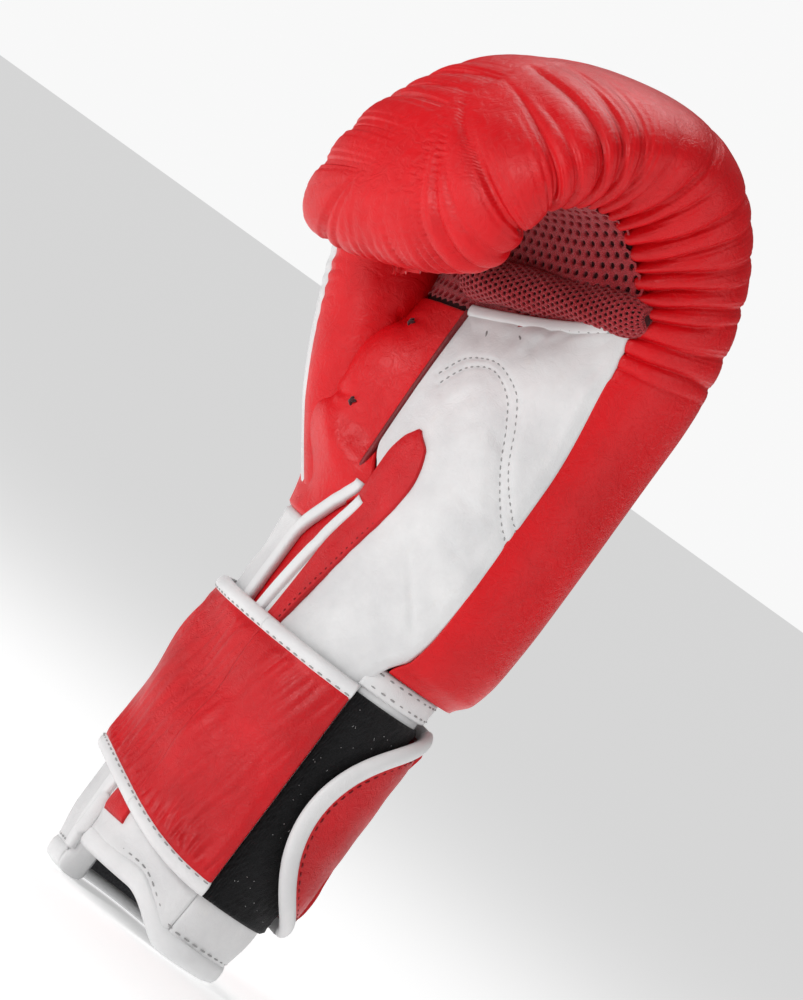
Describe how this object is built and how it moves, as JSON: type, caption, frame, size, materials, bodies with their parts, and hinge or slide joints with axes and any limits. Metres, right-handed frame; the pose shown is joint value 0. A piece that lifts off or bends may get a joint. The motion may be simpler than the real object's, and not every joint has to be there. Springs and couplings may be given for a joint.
{
  "type": "boxing glove",
  "caption": "Left-hand padded training glove with a curled mitt, perforated finger lining and a wrap-round hook-and-loop wrist strap.",
  "frame": {"origin": "centre of the bounding box at the cuff mouth, where the glove stands", "axes": "+Z from the cuff mouth to the knuckles, -Y out of the palm, -X to the thumb, +X to the little finger"},
  "size_m": [0.1299, 0.1277, 0.2995],
  "materials": {
    "red_leather": "semi-gloss grained leather",
    "white_leather": "satin creased leather",
    "white_trim": "satin folded and stitched binding",
    "red_mesh": "matt perforated mesh",
    "black_pile": "matt hook-and-loop pile",
    "foam": "matt closed-cell foam",
    "lining_cloth": "matt woven cloth"
  },
  "bodies": {
    "glove": {"mitt_shell": "red_leather", "thumb_inner_panel": "red_leather", "thumb_web_panel": "red_leather", "leaf_patch": "red_leather", "slit_gusset": "red_leather", "palm_panel": "white_leather", "thumb_outer_panel": "white_leather", "cuff_back_panel": "white_leather", "cuff_thumb_panel": "white_leather", "collar_band": "white_trim", "mouth_binding": "white_trim", "slit_binding_palm": "white_trim", "slit_binding_thumb": "white_trim", "palm_top_piping": "white_trim", "finger_mesh": "red_mesh", "grip_bar": "red_mesh", "thumb_piping": "red_mesh", "loop_panel": "black_pile", "knuckle_pad": "foam", "fingertip_pad": "foam", "palm_foam": "foam", "thumb_foam": "foam", "cuff_foam": "foam", "hand_lining": "lining_cloth", "cuff_lining": "lining_cloth", "thumb_lining": "lining_cloth"},
    "strap_root": {"strap_root_panel": "red_leather", "strap_root_upper_binding": "white_trim", "strap_root_lower_binding": "white_trim"},
    "strap_wrap": {"strap_wrap_panel": "red_leather", "strap_wrap_upper_binding": "white_trim", "strap_wrap_lower_binding": "white_trim"},
    "strap_back": {"strap_back_panel": "red_leather", "strap_back_upper_binding": "white_trim", "strap_back_lower_binding": "white_trim"},
    "strap_tab": {"strap_tab_panel": "red_leather", "strap_tab_piping": "white_trim", "hook_pad": "black_pile"}
  },
  "joints": [
    {"name": "strap_root_lift", "type": "hinge", "parent": "glove", "child": "strap_root", "pos_m": [0.04905, 0.01386, 0.051], "axis": [0, 0, 1], "range_deg": [0, 30]},
    {"name": "strap_palm_fold", "type": "hinge", "parent": "strap_root", "child": "strap_wrap", "pos_m": [-0.02635, 0.00479, 0.051], "axis": [0, 0, 1], "range_deg": [0, 50]},
    {"name": "strap_unwrap", "type": "hinge", "parent": "strap_wrap", "child": "strap_back", "pos_m": [-0.036, 0.04819, 0.051], "axis": [0, 0, 1], "range_deg": [0, 100]},
    {"name": "strap_tab_peel", "type": "hinge", "parent": "strap_back", "child": "strap_tab", "pos_m": [0.02129, 0.06227, 0.051], "axis": [0, 0, 1], "range_deg": [0, 70]}
  ],
  "couplings": [
    {"joint": "strap_root_lift", "follows": "strap_unwrap", "ratio": 0.25},
    {"joint": "strap_palm_fold", "follows": "strap_unwrap", "ratio": 0.45}
  ]
}
